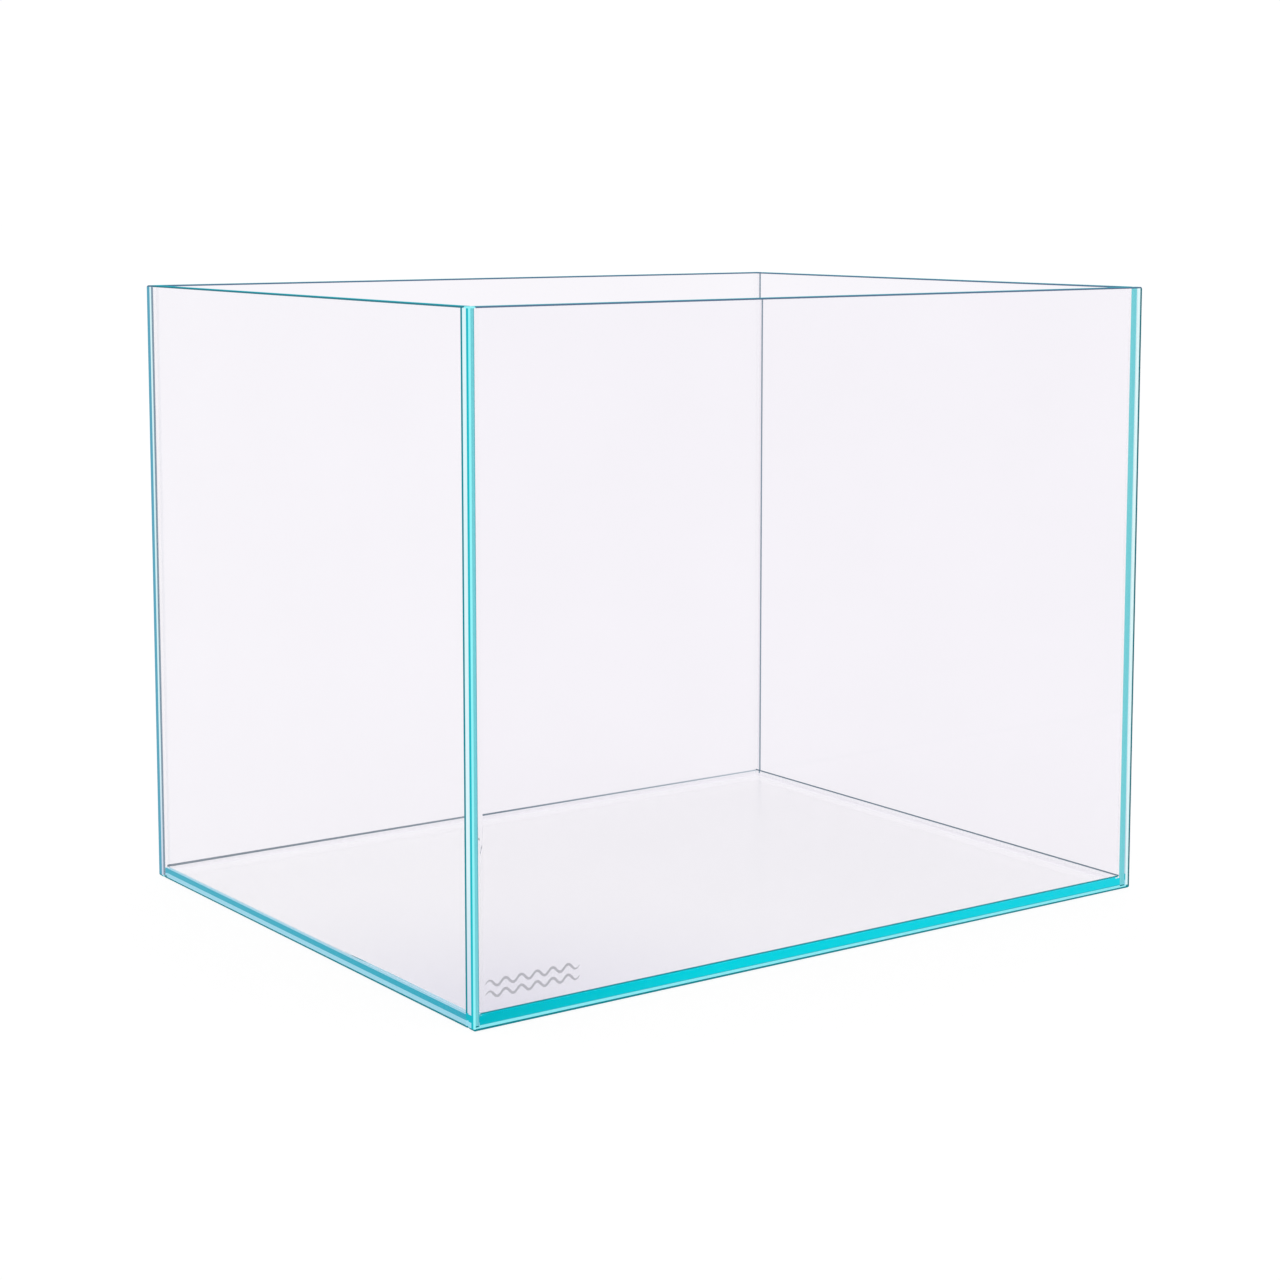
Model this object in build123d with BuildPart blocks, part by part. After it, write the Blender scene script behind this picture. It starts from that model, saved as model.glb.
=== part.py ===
from build123d import *

import os

# Rimless aquarium tank: five float-glass panes glued to one another with clear silicone.
# Frame in millimetres: origin under the middle of the tank, on the surface it stands on.
# +X runs along the width, the front pane faces -Y, +Z is up.

tank_width = 450.0
tank_depth = 355.0
tank_height = 350.0
glass = 6.0  # every wall
base_glass = 6.0
arris = 0.8  # ground flat along every pane edge
joint_gap = 0.9  # silicone between two glued panes
bead_hollow = 0.15  # how far the inside fillet's face is dished between its two edges

inside_width = tank_width - 2 * glass
inside_depth = tank_depth - 2 * glass
bead_leg = joint_gap + arris  # inside fillet of silicone: from the corner to where the arris ends
floor_width = inside_width - 2 * joint_gap
floor_depth = inside_depth - 2 * joint_gap
bead_dip = bead_leg / 2 - bead_hollow / 2**0.5  # the fillet face's middle, along each pane

os.makedirs("parts", exist_ok=True)


def save(piece, name):
    piece.label = name
    export_step(piece, f"parts/{name}.step")


# Front and back panes run the full width and cover the ends of the side panes.
for side, name in ((-1, "front_pane"), (1, "back_pane")):
    with BuildPart() as long_pane:
        with BuildSketch(Plane.XY):
            with Locations((0, side * (tank_depth - glass) / 2)):
                Rectangle(tank_width, glass)
        extrude(amount=tank_height)
        chamfer(long_pane.edges(), length=arris)
    save(long_pane.part, name)

# Side panes fit between the front and back panes, one joint clear of each.
for side, name in ((-1, "left_pane"), (1, "right_pane")):
    with BuildPart() as side_pane:
        with BuildSketch(Plane.XY):
            with Locations((side * (tank_width - glass) / 2, 0)):
                Rectangle(glass, floor_depth)
        extrude(amount=tank_height)
        chamfer(side_pane.edges(), length=arris)
    save(side_pane.part, name)

# The base lies inside the four walls, its underside level with their lower edges.
with BuildPart() as base_pane:
    with BuildSketch(Plane.XY):
        Rectangle(floor_width, floor_depth)
    extrude(amount=base_glass)
    chamfer(base_pane.edges(), length=arris)
save(base_pane.part, "base_pane")


def floor_seam(inward, reach, length):
    """Silicone along one edge of the base: it fills the joint and ends in the inside fillet.

    inward points from the wall into the tank, reach is how far the wall's inner face lies
    from the tank's middle, and length is how long the seam runs along that wall.
    """
    wall_plane = Plane(
        origin=inward * -reach, x_dir=inward, z_dir=inward.cross(Vector(0, 0, 1))
    )
    with BuildPart() as seam:
        with BuildSketch(wall_plane):
            with BuildLine():
                joint = Polyline(
                    (0, base_glass + bead_leg),
                    (0, arris),
                    (joint_gap, arris),
                    (joint_gap, base_glass - arris),
                    (bead_leg, base_glass),
                )
                ThreePointArc(joint @ 1, (bead_dip, base_glass + bead_dip), joint @ 0)
            make_face()
        extrude(amount=length / 2, both=True)
    return seam.part


front_floor_seam = floor_seam(Vector(0, 1, 0), inside_depth / 2, inside_width)
back_floor_seam = floor_seam(Vector(0, -1, 0), inside_depth / 2, inside_width)
save(front_floor_seam, "front_floor_seam")
save(back_floor_seam, "back_floor_seam")

# The seams along the sides stop in a mitre where they meet the front and back ones.
side_floor_seams = {}
for side, name in ((-1, "left_floor_seam"), (1, "right_floor_seam")):
    full_seam = floor_seam(Vector(-side, 0, 0), inside_width / 2, inside_depth)
    with BuildPart() as side_seam:
        add(full_seam)
        add([front_floor_seam, back_floor_seam], mode=Mode.SUBTRACT)
    side_floor_seams[side] = side_seam.part
    save(side_seam.part, name)

# Upright seams at the four corners, between the end of a side pane and the front or back pane.
# Their fillets come down onto the floor seams.
for x_side, x_name in ((-1, "left"), (1, "right")):
    for y_side, y_name in ((-1, "front"), (1, "back")):
        corner_plane = Plane(
            origin=(x_side * inside_width / 2, y_side * inside_depth / 2, arris),
            x_dir=(-x_side, 0, 0),
            z_dir=(0, 0, x_side * y_side),
        )
        upright_length = tank_height - 2 * arris
        with BuildPart() as corner_seam:
            with BuildSketch(corner_plane):
                with BuildLine():
                    joint = Polyline(
                        (0, bead_leg),
                        (-arris, joint_gap),
                        (arris - glass, joint_gap),
                        (arris - glass, 0),
                        (bead_leg, 0),
                    )
                    ThreePointArc(joint @ 1, (bead_dip, bead_dip), joint @ 0)
                make_face()
            extrude(amount=upright_length * x_side * y_side)
            with BuildSketch(Plane.XY):
                Rectangle(inside_width, inside_depth)
            extrude(amount=base_glass, mode=Mode.SUBTRACT)
            add([front_floor_seam, back_floor_seam], mode=Mode.SUBTRACT)
            add(side_floor_seams[x_side], mode=Mode.SUBTRACT)
        save(corner_seam.part, f"{y_name}_{x_name}_seam")
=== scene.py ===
from math import cos, pi, radians, sin

import bpy
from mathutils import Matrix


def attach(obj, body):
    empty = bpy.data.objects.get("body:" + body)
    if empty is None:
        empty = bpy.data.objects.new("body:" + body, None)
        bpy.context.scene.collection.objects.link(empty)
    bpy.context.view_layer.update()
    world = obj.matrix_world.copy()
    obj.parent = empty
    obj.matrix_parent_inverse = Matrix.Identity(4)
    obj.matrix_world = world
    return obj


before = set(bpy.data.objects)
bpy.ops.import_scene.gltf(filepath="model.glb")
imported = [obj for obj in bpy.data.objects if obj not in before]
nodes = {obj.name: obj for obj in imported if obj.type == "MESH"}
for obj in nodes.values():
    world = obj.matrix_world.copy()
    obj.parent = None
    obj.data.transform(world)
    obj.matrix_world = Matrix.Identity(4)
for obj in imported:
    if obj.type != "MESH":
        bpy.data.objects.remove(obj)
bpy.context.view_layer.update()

# The tank's sizes, in metres, as the CAD part has them.
HALF_WIDTH = 0.225
HALF_DEPTH = 0.1775
HEIGHT = 0.350
GLASS = 0.006
BASE_GLASS = 0.006
JOINT_GAP = 0.0009
ARRIS = 0.0008

# How far a limit stands off a face that it has to take in, or leave out, as a share of the arris.
JUST_PAST = 1.01
WELL_PAST = 1.05
JUST_SHORT = 0.9

# A face is square on to an axis when its normal's share along the axis is above this.
SQUARE_ON = 0.9

GLASS_IOR = 1.52
SILICONE_IOR = 1.05
BASE_IOR = 1.12
BASE_ROUGHNESS = 0.2
CLEAR_SILICONE = (0.99, 0.99, 0.99)


def shown(red, green, blue):
    """The linear colour that a screen shows as this one."""
    return tuple((part / 255) ** 2.2 for part in (red, green, blue))


class Shader:
    """A material's node tree, with the few kinds of node the materials below are made of."""

    def __init__(self, name):
        self.material = bpy.data.materials.new(name)
        self.material.use_nodes = True
        self.tree = self.material.node_tree
        self.tree.nodes.clear()
        output = self.node("ShaderNodeOutputMaterial")
        self.surface = self.node("ShaderNodeBsdfPrincipled")
        self.link(self.surface.outputs[0], output.inputs["Surface"])

    def node(self, kind, **settings):
        made = self.tree.nodes.new(kind)
        for key, value in settings.items():
            setattr(made, key, value)
        return made

    def link(self, source, target):
        self.tree.links.new(source, target)

    def feed(self, source, target):
        """source is a number, a colour or another node's output."""
        if isinstance(source, (int, float)):
            target.default_value = source
        elif isinstance(source, tuple):
            target.default_value = (*source, 1.0)
        else:
            self.link(source, target)

    def math(self, operation, *values):
        made = self.node("ShaderNodeMath", operation=operation)
        for value, socket in zip(values, made.inputs):
            self.feed(value, socket)
        return made.outputs[0]

    def above(self, value, limit):
        return self.math("GREATER_THAN", value, limit)

    def below(self, value, limit):
        return self.math("LESS_THAN", value, limit)

    def both(self, first, *others):
        for other in others:
            first = self.math("MULTIPLY", first, other)
        return first

    def either(self, first, second):
        return self.math("MAXIMUM", first, second)

    def opposite(self, mask):
        return self.math("SUBTRACT", 1.0, mask)

    def mix(self, share, low, high):
        made = self.node("ShaderNodeMix", data_type="RGBA")
        self.feed(share, made.inputs["Factor"])
        self.feed(low, made.inputs[6])
        self.feed(high, made.inputs[7])
        return made.outputs[2]

    def tinted(self, first, second):
        """Two colours multiplied."""
        made = self.node("ShaderNodeMix", data_type="RGBA", blend_type="MULTIPLY")
        made.inputs["Factor"].default_value = 1.0
        self.feed(first, made.inputs[6])
        self.feed(second, made.inputs[7])
        return made.outputs[2]

    def split(self, vector):
        made = self.node("ShaderNodeSeparateXYZ")
        self.link(vector, made.inputs[0])
        return made.outputs

    def noise(self, scale, detail=2.0):
        made = self.node("ShaderNodeTexNoise")
        self.link(self.place, made.inputs["Vector"])
        made.inputs["Scale"].default_value = scale
        made.inputs["Detail"].default_value = detail
        return made.outputs["Fac"]

    def specks(self, scale, size):
        """1 on a few small round specks, as settled dust leaves."""
        cells = self.node("ShaderNodeTexVoronoi")
        self.link(self.place, cells.inputs["Vector"])
        cells.inputs["Scale"].default_value = scale
        settled = self.above(self.noise(DUST_PATCHES), DUST_SHARE)
        return self.both(self.below(cells.outputs["Distance"], size), settled)

    def look_around(self):
        """Where the point is in the tank, which way its surface faces and from which side it is seen."""
        self.place = self.node("ShaderNodeTexCoord").outputs["Object"]
        self.x, self.y, self.z = self.split(self.place)
        geometry = self.node("ShaderNodeNewGeometry")
        self.from_inside = geometry.outputs["Backfacing"]
        self.from_outside = self.opposite(self.from_inside)
        facing = self.split(geometry.outputs["True Normal"])
        self.facing = [self.math("ABSOLUTE", part) for part in facing]
        squarest = self.math("MAXIMUM", *self.facing[:2])
        self.slanted = self.below(self.math("MAXIMUM", squarest, self.facing[2]), SQUARE_ON)


# Colours as they show in white light. On the glass edges and the silicone they are mostly a painted
# glow, standing in for the light that the glass carries to them and the bands seen through it.
TEAL = shown(35, 187, 202)
LIGHT_CYAN = shown(122, 219, 228)
AQUA = shown(150, 248, 253)
PALE_AQUA = shown(150, 246, 254)
PALE_BLUE = shown(158, 224, 244)
SKY = shown(180, 228, 248)
LAVENDER = shown(208, 219, 237)
NEAR_WHITE = shown(222, 250, 254)
# a painted glow a little over white, standing in for the light seen through clear glass, put on edges
# seen from within
SEE_THROUGH_GLOW = (1.04, 1.02, 1.06)
# a painted highlight: an edge glow brighter than white, in pale blue-green
BRIGHT = (0.84, 1.08, 1.10)
DEEP_TEAL = shown(8, 130, 143)
DARK_LINE = shown(0, 136, 150)
STEEL = shown(125, 148, 167)
RIM_LINE = shown(95, 118, 145)
CYAN = shown(3, 222, 238)
CYAN_NEAR_THE_CORNER = shown(5, 192, 208)
SIDE_TEAL = shown(0, 174, 200)

# Ground edges, whose colour is mostly a painted glow
EDGE_ROUGHNESS = 0.5
EDGE_GLOW = 0.85
EDGE_GRAIN = 0.06
GRAIN_SCALE = 700.0

# Clear faces
NEAR_TINT = (0.978, 0.973, 0.985)
FAR_TINT = (0.935, 0.915, 0.955)
FLOOR_TINT = (0.985, 0.972, 1.0)
# painted shade on the base's faces, deepest at the front left corner
CORNER_SHADE = (0.80, 0.79, 0.88)
CORNER_REACH = 0.26
CORNER_FALL = 1.6
CLOUDED = 0.985
CLOUD_SCALE = 14.0
DUSTY = 0.93
DUST_SCALE = 110.0
DUST_SIZE = 0.05
DUST_PATCHES = 25.0
DUST_SHARE = 0.52

# Heights over the floor where one band of colour takes over from another
FOOT_LINE = 0.00115
END_BAND_TOP = 0.0076
END_BAND_MIDDLE = 0.0039
SIDE_BAND_TOP = 0.0055
SIDE_BAND_MIDDLE = 0.0025
FRONT_BAND_FOOT = 0.0019
FRONT_BAND_PALE_FOOT = 0.0015
LAVENDER_REACH = 0.08
CYAN_REACH = 0.15

# Depths from a wall's outer face, and places along it, where its edges change colour
BRIGHT_FROM = 0.00385
HALF_OUTER_ARRIS = 0.00058
HALF_INNER_ARRIS = 0.00044
INNER_FOOT = GLASS - ARRIS + 0.00015
BRIGHT_CORNER = 0.0038


def edge_glass(shader, ior, painted, colour, tint, face_roughness=0.0):
    """Clear glass with tint, and ground glass in colour wherever painted is 1.

    Most of a ground edge's colour is emission, a painted glow that stands in for the light the pane
    carries to it; the rest is lit by what falls on it.
    """
    surface = shader.surface
    surface.inputs["IOR"].default_value = ior
    surface.inputs["Specular IOR Level"].default_value = 0.0
    surface.inputs["Specular Tint"].default_value = (0.0, 0.0, 0.0, 1.0)
    black = (0.0, 0.0, 0.0)
    cloud = shader.mix(shader.noise(CLOUD_SCALE), (1.0, 1.0, 1.0), (CLOUDED, CLOUDED, CLOUDED))
    cloud = shader.mix(shader.specks(DUST_SCALE, DUST_SIZE), cloud, (DUSTY, DUSTY, DUSTY))
    tint = shader.tinted(cloud, tint)
    grain = shader.math("MULTIPLY", shader.noise(GRAIN_SCALE), EDGE_GRAIN)
    colour = shader.mix(grain, colour, black)
    glowing = shader.mix(EDGE_GLOW, black, colour)
    lit = shader.mix(1 - EDGE_GLOW, black, colour)
    surface.inputs["Emission Strength"].default_value = 1.0
    shader.link(shader.mix(painted, black, glowing), surface.inputs["Emission Color"])
    shader.link(shader.mix(painted, tint, lit), surface.inputs["Base Color"])
    roughness = shader.math("MULTIPLY_ADD", painted, EDGE_ROUGHNESS - face_roughness, face_roughness)
    shader.link(roughness, surface.inputs["Roughness"])
    shader.link(shader.opposite(painted), surface.inputs["Transmission Weight"])


def with_band(shader, colour, share):
    """At the tank's foot a wall's end is painted with the bands that the base's edge shows, a painted
    glow standing in for the base's edge seen through the glass.
    """
    low = shader.both(share, shader.below(shader.z, END_BAND_TOP))
    lowest = shader.both(share, shader.below(shader.z, END_BAND_MIDDLE))
    return shader.mix(lowest, shader.mix(low, colour, TEAL), PALE_BLUE)


def inner_end(shader):
    """The pale half of a wall's end, nearly white and more lavender towards the foot."""
    rise = shader.math("MINIMUM", shader.math("DIVIDE", shader.z, LAVENDER_REACH), 1.0)
    return shader.mix(rise, LAVENDER, NEAR_WHITE)


def side_bands(shader):
    """What the base's edge shows to the tank's sides: a teal band over a pale one."""
    lower = shader.mix(shader.below(shader.z, SIDE_BAND_MIDDLE), SIDE_TEAL, PALE_BLUE)
    return shader.mix(shader.above(shader.z, SIDE_BAND_TOP), lower, SKY)


def wall_material(name, thin_axis, tint, colours):
    """One wall pane. Its edges are ground; depth is counted from the pane's outer face.

    thin_axis is 0 for the side panes, which are thin along x, and 1 for the front and back panes.
    """
    shader = Shader(f"glass_{name}")
    shader.look_around()
    half = (HALF_WIDTH, HALF_DEPTH)[thin_axis]
    across = (shader.x, shader.y)[thin_axis]
    along = (shader.y, shader.x)[thin_axis]
    run = (HALF_DEPTH - GLASS - JOINT_GAP, HALF_WIDTH)[thin_axis]
    depth = shader.math("SUBTRACT", half, shader.math("ABSOLUTE", across))
    from_end = shader.math("SUBTRACT", run, shader.math("ABSOLUTE", along))
    face = shader.above(shader.facing[thin_axis], SQUARE_ON)
    front = shader.below(shader.y, 0.0)
    top = shader.above(shader.z, HEIGHT - ARRIS * JUST_PAST)
    bottom = shader.below(shader.z, FOOT_LINE)
    outlined = shader.both(bottom, shader.below(depth, ARRIS / 2))

    pale = inner_end(shader)
    if thin_axis == 1:
        # front and back panes, whose ends are seen from the tank's sides
        share = shader.above(depth, colours["split"])
        ends = shader.mix(share, colours["end"], pale)
        ends = with_band(shader, ends, shader.both(share, front))
        # seen from within, the inner part of a front or back pane's end is painted with the bright
        # highlight glow
        ends_inside = shader.mix(shader.above(depth, BRIGHT_FROM), colours["end_inside"], BRIGHT)
        outer_arris = colours["arris"]
        inner_arris = shader.mix(shader.above(from_end, HALF_INNER_ARRIS), pale, STEEL)
    else:
        ends = LIGHT_CYAN
        # seen from within, a side pane's end is painted with the bands of the base beside it, a painted
        # reflection of the base
        by_the_base = shader.below(shader.z, BASE_GLASS)
        mirroring = shader.both(by_the_base, shader.below(shader.y, colours["mirrors_to"]))
        mirrored = shader.mix(mirroring, SEE_THROUGH_GLOW, side_bands(shader))
        ends_inside = shader.mix(shader.above(depth, colours["split"]), colours["end_inside"], mirrored)
        outer_arris = shader.mix(shader.above(depth, HALF_OUTER_ARRIS), colours["arris"], pale)
        outer_arris = with_band(shader, outer_arris, front)
        inner_arris = colours["inner_arris"]
    inner = shader.above(depth, GLASS / 2)
    arris = shader.mix(inner, outer_arris, inner_arris)
    colour = shader.mix(shader.slanted, ends, arris)
    colour = shader.mix(shader.from_inside, colour, ends_inside)

    # the foot, with a dark line along its bottom, and the rim, which from within is a painted near-white
    # glow; the front pane's rim has a painted highlight at its left corner
    foot = shader.mix(shader.above(depth, INNER_FOOT), DEEP_TEAL, colours["foot"])
    colour = shader.mix(bottom, colour, foot)
    rim = shader.mix(shader.slanted, TEAL, colours["rim"])
    if name == "front_pane":
        rim = shader.mix(shader.below(shader.x, BRIGHT_CORNER - HALF_WIDTH), rim, AQUA)
    rim = shader.mix(shader.from_inside, rim, NEAR_WHITE)
    colour = shader.mix(top, colour, rim)

    painted = shader.either(outlined, shader.opposite(face))
    edge_glass(shader, GLASS_IOR, painted, colour, tint)
    return shader.material


def bands(shader):
    """The base's edge, a painted glow: cyan to the front and back, darker near the left end, and its own
    bands to the sides.
    """
    along = shader.math("DIVIDE", shader.math("ADD", shader.x, HALF_WIDTH), CYAN_REACH)
    front = shader.mix(shader.math("MINIMUM", along, 1.0), CYAN_NEAR_THE_CORNER, CYAN)
    front = shader.mix(shader.below(shader.z, FRONT_BAND_FOOT), front, TEAL)
    front = shader.mix(shader.below(shader.z, FRONT_BAND_PALE_FOOT), front, PALE_AQUA)
    return shader.mix(shader.above(shader.facing[1], 0.5), side_bands(shader), front)


def base_material(name):
    """The base pane: its edge in bands, and on its faces a painted shade that deepens towards the front
    left corner.
    """
    shader = Shader(name)
    shader.look_around()
    face = shader.above(shader.facing[2], SQUARE_ON)
    # seen from within, the base's edge is painted with the glow that looks clear
    colour = shader.mix(shader.from_inside, bands(shader), SEE_THROUGH_GLOW)
    away = shader.node("ShaderNodeVectorMath", operation="DISTANCE")
    shader.link(shader.place, away.inputs[0])
    away.inputs[1].default_value = (-HALF_WIDTH, -HALF_DEPTH, 0.0)
    nearness = shader.math("SUBTRACT", 1.0, shader.math("DIVIDE", away.outputs["Value"], CORNER_REACH))
    nearness = shader.math("POWER", shader.math("MAXIMUM", nearness, 0.0), CORNER_FALL)
    # the base's own tint, darkened by the painted corner shade
    tint = shader.mix(nearness, FLOOR_TINT, CORNER_SHADE)
    edge_glass(shader, BASE_IOR, shader.opposite(face), colour, tint, BASE_ROUGHNESS)
    return shader.material


def silicone_material(name, touching, line, line_colour):
    """Clear silicone, painted with the base's glowing bands where it touches a wall beside the base: a
    painted image of the base's edge seen through that wall.

    touching gives the share of the surface that touches a wall; line is what else is painted.
    """
    shader = Shader(name)
    shader.look_around()
    beside = shader.both(shader.below(shader.z, BASE_GLASS), shader.from_outside, touching(shader))
    line = line(shader)
    colour = shader.mix(line, bands(shader), line_colour(shader))
    edge_glass(shader, SILICONE_IOR, shader.either(line, beside), colour, CLEAR_SILICONE)
    return shader.material


# How near to a pane a point of the silicone counts as touching it
TOUCH = 0.0003
END_TOUCH = 0.0001


def touching_long_wall(shader):
    return shader.above(shader.math("ABSOLUTE", shader.y), HALF_DEPTH - GLASS - TOUCH)


def touching_long_wall_inside(shader):
    """As touching_long_wall, without what lies over the end of a side wall."""
    inward = shader.below(shader.math("ABSOLUTE", shader.x), HALF_WIDTH - GLASS + ARRIS * JUST_SHORT)
    return shader.both(touching_long_wall(shader), inward)


def touching_side_wall(shader):
    side = shader.above(shader.math("ABSOLUTE", shader.x), HALF_WIDTH - GLASS - TOUCH)
    end = shader.above(shader.math("ABSOLUTE", shader.y), HALF_DEPTH - GLASS - JOINT_GAP - END_TOUCH)
    return shader.either(side, end)


def groove(shader):
    """The outer face of a corner seam, between the ends of two walls."""
    return shader.above(shader.math("ABSOLUTE", shader.x), HALF_WIDTH - ARRIS * WELL_PAST)


def groove_colour(shader):
    front = shader.below(shader.y, 0.0)
    return with_band(shader, shader.mix(front, STEEL, inner_end(shader)), front)


# The lines on the seams' fillets, in heights over the base's top
LINE_TOP = 0.0012
LINE_TOP_THROUGH_WALL = 0.0016
LINE_FOOT_LEFT = 0.0001
LINE_FOOT_RIGHT = 0.0005
LINE_FOOT_THROUGH_WALL = -0.0001
CYAN_LIFT = 0.00045  # below this the line is cyan where it is seen through the wall
SIDE_LINE_FOOT = 0.00095
SIDE_LINE_TOP = 0.00165


def way_along(shader):
    """0 at the tank's left end and 1 at its right end."""
    return shader.math("DIVIDE", shader.math("ADD", shader.x, HALF_WIDTH), 2 * HALF_WIDTH)


def long_line(shader):
    """A line on the front or back seam's fillet, thinner at the tank's right end as seen from within."""
    lift = shader.math("SUBTRACT", shader.z, BASE_GLASS)
    top = shader.math("MULTIPLY_ADD", shader.from_inside, LINE_TOP_THROUGH_WALL - LINE_TOP, LINE_TOP)
    raised = LINE_FOOT_RIGHT - LINE_FOOT_LEFT
    lowered = LINE_FOOT_THROUGH_WALL - LINE_FOOT_RIGHT
    thinning = shader.math("MULTIPLY_ADD", way_along(shader), raised, LINE_FOOT_LEFT)
    foot = shader.math("MULTIPLY_ADD", shader.from_inside, lowered, LINE_FOOT_RIGHT)
    foot = shader.math("MINIMUM", thinning, foot)
    return shader.both(shader.above(lift, foot), shader.below(lift, top), shader.slanted)


def long_line_colour(shader):
    fading = shader.math("POWER", way_along(shader), 2.0)
    seen_inside_tank = shader.mix(fading, shown(98, 114, 130), shown(190, 201, 212))
    cyan = shader.below(shader.z, BASE_GLASS + CYAN_LIFT)
    seen_through_wall = shader.mix(cyan, shown(30, 148, 158), CYAN)
    return shader.mix(shader.from_inside, seen_inside_tank, seen_through_wall)


def side_line(shader):
    """A thin line high on a side seam's fillet, seen from inside the tank only."""
    lift = shader.math("SUBTRACT", shader.z, BASE_GLASS)
    within = shader.both(shader.above(lift, SIDE_LINE_FOOT), shader.below(lift, SIDE_LINE_TOP))
    return shader.both(within, shader.slanted, shader.from_outside)


def side_line_colour(shader):
    return shown(112, 128, 142)


# For each wall: the depth at which its end changes colour, and its colours. The arris colours are
# painted light and differ by pane: a painted highlight on the front and right panes, a painted shade on
# the left one.
front_colours = {
    "split": 0.00275,
    "end": TEAL,
    "end_inside": shown(35, 115, 127),
    # painted highlight along the front pane's outer arrises
    "arris": AQUA,
    "foot": PALE_AQUA,
    "rim": RIM_LINE,
}
back_colours = dict(front_colours, split=0.0044, end=shown(97, 167, 192), arris=shown(133, 199, 221))
left_colours = {
    "split": 0.0032,
    "end_inside": STEEL,
    # painted shade along the left pane's outer arrises
    "arris": DARK_LINE,
    "inner_arris": shown(80, 172, 187),
    "mirrors_to": HALF_DEPTH,
    "foot": PALE_BLUE,
    "rim": shown(60, 125, 140),
}
right_colours = dict(
    left_colours,
    split=0.0013,
    end_inside=shown(138, 156, 170),
    # painted highlight along the right pane's outer arrises, and the glow that looks clear on its inner
    # ones
    arris=BRIGHT,
    inner_arris=SEE_THROUGH_GLOW,
    rim=RIM_LINE,
    mirrors_to=0.0,
)

walls = {
    "front_pane": (1, NEAR_TINT, front_colours),
    "back_pane": (1, FAR_TINT, back_colours),
    "left_pane": (0, NEAR_TINT, left_colours),
    "right_pane": (0, FAR_TINT, right_colours),
}
for name, (thin_axis, tint, colours) in walls.items():
    nodes[name].data.materials[0] = wall_material(name, thin_axis, tint, colours)
nodes["base_pane"].data.materials[0] = base_material("glass_base_pane")

# Silicone wets the glass with no air between, so each bead reaches a hair into the panes.
WELD_DISTANCE = 0.00001
WETTING = 0.00003
corner_bead = silicone_material("silicone_upright", touching_long_wall_inside, groove, groove_colour)
long_bead = silicone_material("silicone_long", touching_long_wall, long_line, long_line_colour)
side_bead = silicone_material("silicone_side", touching_side_wall, side_line, side_line_colour)
seam_materials = {
    "front_floor_seam": long_bead,
    "back_floor_seam": long_bead,
    "left_floor_seam": side_bead,
    "right_floor_seam": side_bead,
}
for name, node in nodes.items():
    if not name.endswith("_seam"):
        continue
    node.data.materials[0] = seam_materials.get(name, corner_bead)
    weld = node.modifiers.new("weld", "WELD")
    weld.merge_threshold = WELD_DISTANCE
    wet = node.modifiers.new("wet", "DISPLACE")
    wet.strength = WETTING
    wet.mid_level = 0.0

# A printed mark low on the front: two plain waves.
MARK_LEFT = -0.2185
MARK_RIGHT = -0.1635
MARK_HEIGHTS = (0.0172, 0.0226)
WAVES = 6
WAVE_RISE = 0.0015
STROKE = 0.0013
MARK_FACES = (-HALF_DEPTH - 0.00006, -HALF_DEPTH + 0.00002)
TIP = 0.25  # how thick a stroke's tips are, as a share of the stroke
TAPER = 12  # each tip narrows over one such part of the stroke's length
STEPS = 120


def wave_stroke(vertices, faces, height):
    """Adds one wavy stroke, as a thin closed strip that narrows to its two ends."""
    first = len(vertices)
    for step in range(STEPS + 1):
        share = step / STEPS
        turn = 2 * pi * WAVES * share
        x = MARK_LEFT + (MARK_RIGHT - MARK_LEFT) * share
        middle = height + WAVE_RISE * sin(turn)
        slope = 2 * pi * WAVES * WAVE_RISE / (MARK_RIGHT - MARK_LEFT) * cos(turn)
        narrowing = TIP + (1 - TIP) * min(1.0, TAPER * share, TAPER * (1 - share))
        half = STROKE / 2 * narrowing * (1 + slope * slope) ** 0.5
        for y in MARK_FACES:
            vertices.append((x, y, middle - half))
            vertices.append((x, y, middle + half))
    # each station has, in order: front low, front high, back low, back high
    for step in range(STEPS):
        a = first + 4 * step
        b = a + 4
        faces.append((a, b, b + 1, a + 1))
        faces.append((a + 2, a + 3, b + 3, b + 2))
        faces.append((a, a + 2, b + 2, b))
        faces.append((a + 1, b + 1, b + 3, a + 3))
    last = first + 4 * STEPS
    faces.append((first, first + 1, first + 3, first + 2))
    faces.append((last, last + 2, last + 3, last + 1))


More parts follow.
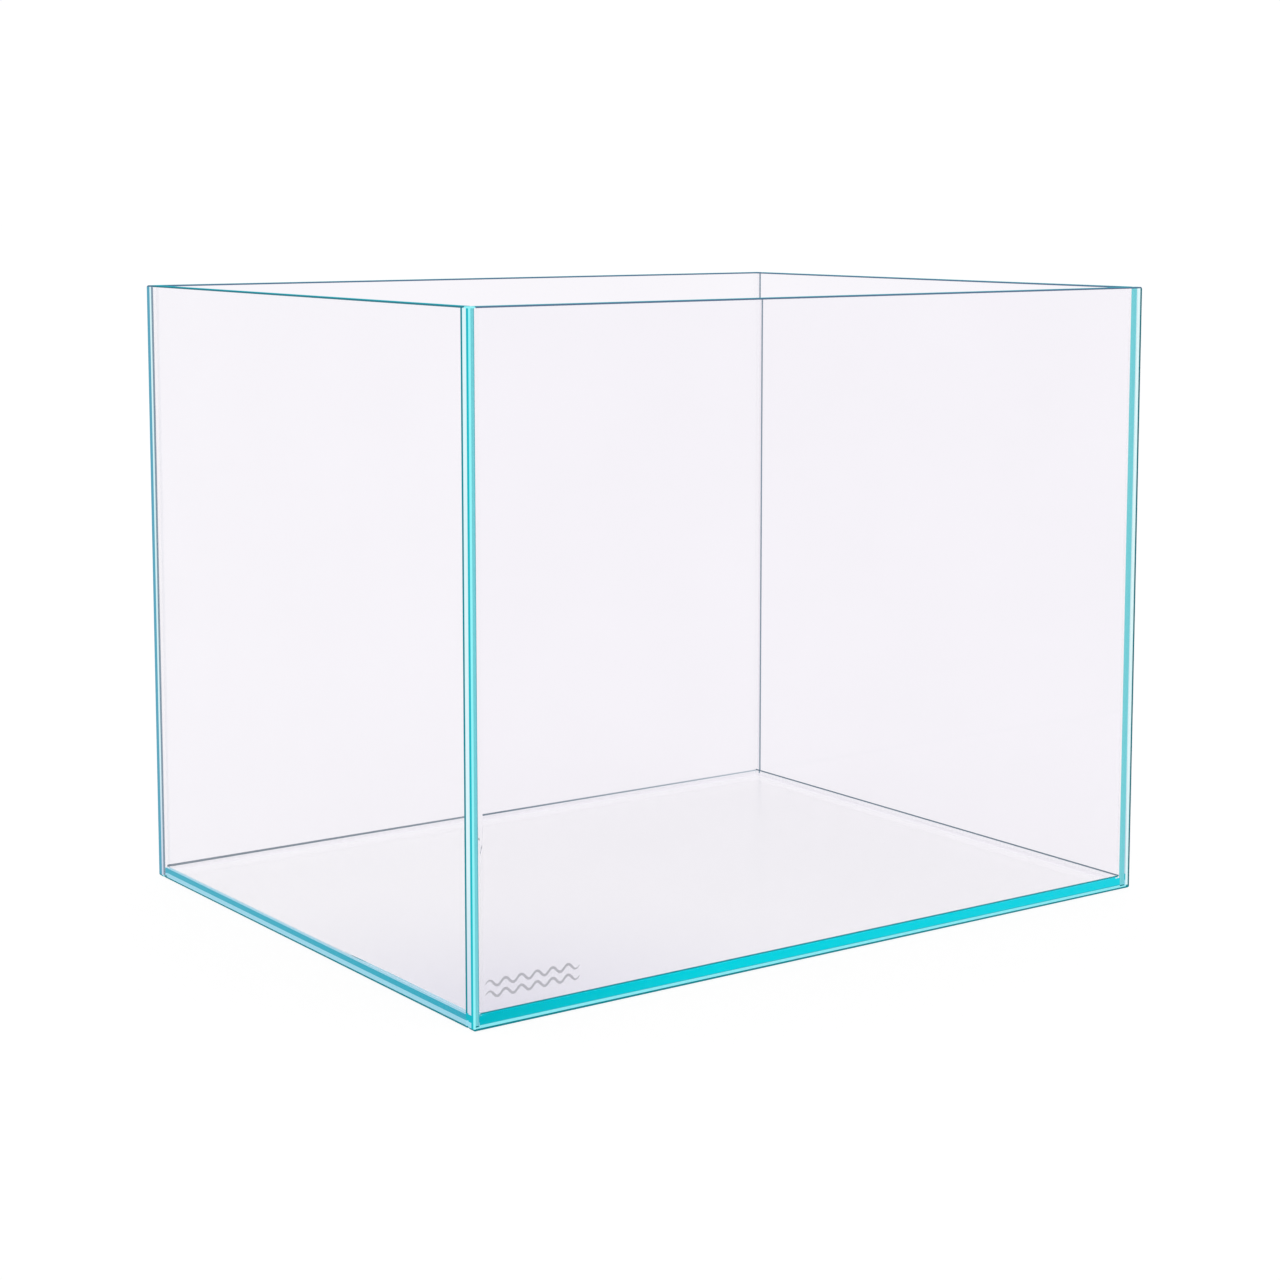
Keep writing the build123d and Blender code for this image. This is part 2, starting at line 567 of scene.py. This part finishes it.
mark_vertices = []
mark_faces = []
for height in MARK_HEIGHTS:
    wave_stroke(mark_vertices, mark_faces, height)
mark_mesh = bpy.data.meshes.new("printed_waves")
mark_mesh.from_pydata(mark_vertices, [], mark_faces)
mark = bpy.data.objects.new("printed_waves", mark_mesh)
bpy.context.scene.collection.objects.link(mark)
PRINT_GRAIN_SCALE = 900.0
ink = Shader("grey_print")
ink.look_around()
print_colour = ink.mix(ink.noise(PRINT_GRAIN_SCALE), shown(172, 172, 180), shown(186, 185, 192))
ink.link(print_colour, ink.surface.inputs["Base Color"])
ink.surface.inputs["Roughness"].default_value = 0.6
ink.surface.inputs["Specular IOR Level"].default_value = 0.2
mark_mesh.materials.append(ink.material)
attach(mark, "root")

# A floor of white paper that runs out of sight, lit so brightly that it shows no shadow
FLOOR_DROP = 0.0004
FAR = 30.0
FLOOR_GLOW = 0.92
PAPER_MOTTLE_SCALE = 6.0
floor_corners = [(-FAR, -FAR), (FAR, -FAR), (FAR, FAR), (-FAR, FAR)]
floor_mesh = bpy.data.meshes.new("floor")
floor_mesh.from_pydata([(x, y, -FLOOR_DROP) for x, y in floor_corners], [], [(0, 1, 2, 3)])
floor = bpy.data.objects.new("floor", floor_mesh)
bpy.context.scene.collection.objects.link(floor)
paper = Shader("white_paper")
paper.look_around()
mottle = paper.mix(paper.noise(PAPER_MOTTLE_SCALE), (0.095, 0.095, 0.095), (0.105, 0.105, 0.105))
paper.link(mottle, paper.surface.inputs["Base Color"])
paper.surface.inputs["Roughness"].default_value = 1.0
paper.surface.inputs["Specular IOR Level"].default_value = 0.0
paper.surface.inputs["Emission Color"].default_value = (1.0, 1.0, 1.0, 1.0)
paper.surface.inputs["Emission Strength"].default_value = FLOOR_GLOW
floor_mesh.materials.append(paper.material)

# The room is as bright as the floor, so that no horizon shows through the glass.
ROOM_LIGHT = 1.02
world = bpy.data.worlds.new("studio")
world.use_nodes = True
background = world.node_tree.nodes["Background"]
background.inputs["Color"].default_value = (1.0, 1.0, 1.0, 1.0)
background.inputs["Strength"].default_value = ROOM_LIGHT
bpy.context.scene.world = world

scene = bpy.context.scene
scene.view_settings.view_transform = "Standard"
scene.cycles.max_bounces = 32
scene.cycles.glossy_bounces = 32
scene.cycles.transmission_bounces = 32
scene.cycles.diffuse_bounces = 4

camera = bpy.data.objects.new("camera", bpy.data.cameras.new("camera"))
scene.collection.objects.link(camera)
camera.data.lens = 72.15
camera.data.sensor_width = 36.0
camera.data.shift_y = -0.12
camera.location = (-0.8579, -1.2020, 0.4017)
camera.rotation_euler = (radians(90 - 6.471), 0.0, radians(-35.517))
scene.camera = camera
